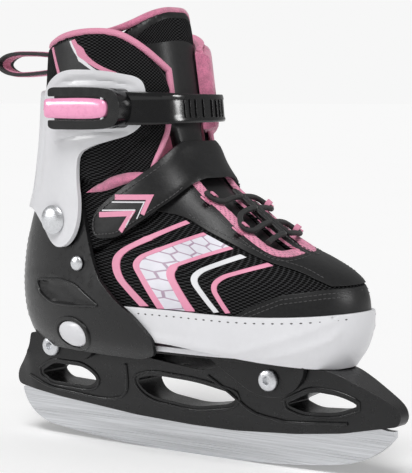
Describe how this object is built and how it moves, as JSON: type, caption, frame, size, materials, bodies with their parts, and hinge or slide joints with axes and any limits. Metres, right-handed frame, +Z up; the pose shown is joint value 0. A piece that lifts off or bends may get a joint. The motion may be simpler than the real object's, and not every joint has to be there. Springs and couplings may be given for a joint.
{
  "type": "ice skate",
  "caption": "Adjustable right-foot ice skate: steel blade in a windowed chassis, heel shell, sliding toe shell, pivoting cuff, ratchet buckle, straps and lacing.",
  "frame": {"origin": "middle of the flat part of the blade's running edge, on the ice", "axes": "+X towards the toe, +Y towards the inner (medial) side of a right foot, +Z up"},
  "size_m": [0.2811, 0.0979, 0.2523],
  "materials": {
    "steel": "ground and brushed",
    "silver_metal": "bright nickel",
    "black_plastic": "satin moulded",
    "white_plastic": "semi-gloss moulded",
    "grey_plastic": "satin",
    "pink_plastic": "glossy moulded",
    "black_leather": "smooth synthetic leather",
    "black_mesh": "air mesh",
    "pink_textile": "fleece",
    "black_webbing": "woven webbing",
    "foam_board": "dense foam"
  },
  "bodies": {
    "chassis": {"blade": "steel", "blade_holder": "black_plastic", "blade_pin_rear": "silver_metal", "blade_pin_middle": "silver_metal", "blade_pin_front": "silver_metal", "rear_bolt": "silver_metal", "rear_washer": "silver_metal", "rear_nut": "silver_metal", "front_bolt": "silver_metal", "front_washer": "silver_metal", "front_nut": "silver_metal", "sole_plate": "black_plastic", "plate_screw_rear": "silver_metal", "plate_screw_front": "silver_metal", "heel_shell": "black_plastic", "shell_rivet_lateral": "silver_metal", "shell_rivet_medial": "silver_metal", "insole": "pink_textile", "ankle_quarter": "black_mesh", "ankle_bush_lateral": "grey_plastic", "ankle_bush_medial": "grey_plastic", "button_bezel": "grey_plastic", "button_spring": "silver_metal"},
    "toe_part": {"toe_shell": "white_plastic", "slide_rack": "black_plastic", "toe_board": "foam_board", "vamp": "black_mesh", "toe_cap": "black_leather", "tongue_lower": "black_leather", "lace": "black_webbing", "lace_loop_lateral_upper": "pink_textile", "lace_loop_lateral_lower": "pink_textile", "lace_loop_medial_upper": "pink_textile", "lace_loop_medial_lower": "pink_textile"},
    "cuff": {"cuff": "white_plastic", "ankle_rivet_lateral": "silver_metal", "ankle_rivet_medial": "silver_metal", "collar": "black_mesh", "tongue_upper": "black_leather", "pull_loop": "black_webbing", "buckle_base": "black_plastic", "lever_pin": "silver_metal", "buckle_rivet_rear": "silver_metal", "buckle_rivet_front": "silver_metal", "strap_anchor": "black_plastic", "strap_screw": "silver_metal"},
    "buckle_lever": {"buckle_lever": "pink_plastic", "buckle_pawl": "grey_plastic"},
    "ladder_strap": {"ladder_strap": "black_plastic"},
    "instep_strap": {"instep_strap": "black_leather"},
    "size_button": {"size_button": "white_plastic", "lock_pawl": "grey_plastic"}
  },
  "joints": [
    {"name": "size_slide", "type": "slide", "parent": "chassis", "child": "toe_part", "axis": [1, 0, 0], "range_m": [0, 0.018]},
    {"name": "cuff_pivot", "type": "hinge", "parent": "chassis", "child": "cuff", "pos_m": [-0.074, 0, 0.133], "axis": [0, 1, 0], "range_deg": [-4, 6]},
    {"name": "buckle_open", "type": "hinge", "parent": "cuff", "child": "buckle_lever", "pos_m": [-0.029, -0.0485, 0.1967], "axis": [0, 0, 1], "range_deg": [0, 100]},
    {"name": "ladder_slide", "type": "slide", "parent": "cuff", "child": "ladder_strap", "axis": [1, 0, 0], "range_m": [0, 0.01]},
    {"name": "instep_open", "type": "hinge", "parent": "chassis", "child": "instep_strap", "pos_m": [-0.022, 0.0385, 0.134], "axis": [-0.4831, 0, 0.8756], "range_deg": [0, 75]},
    {"name": "button_press", "type": "slide", "parent": "chassis", "child": "size_button", "axis": [0, 1, 0], "range_m": [0, 0.003]}
  ]
}
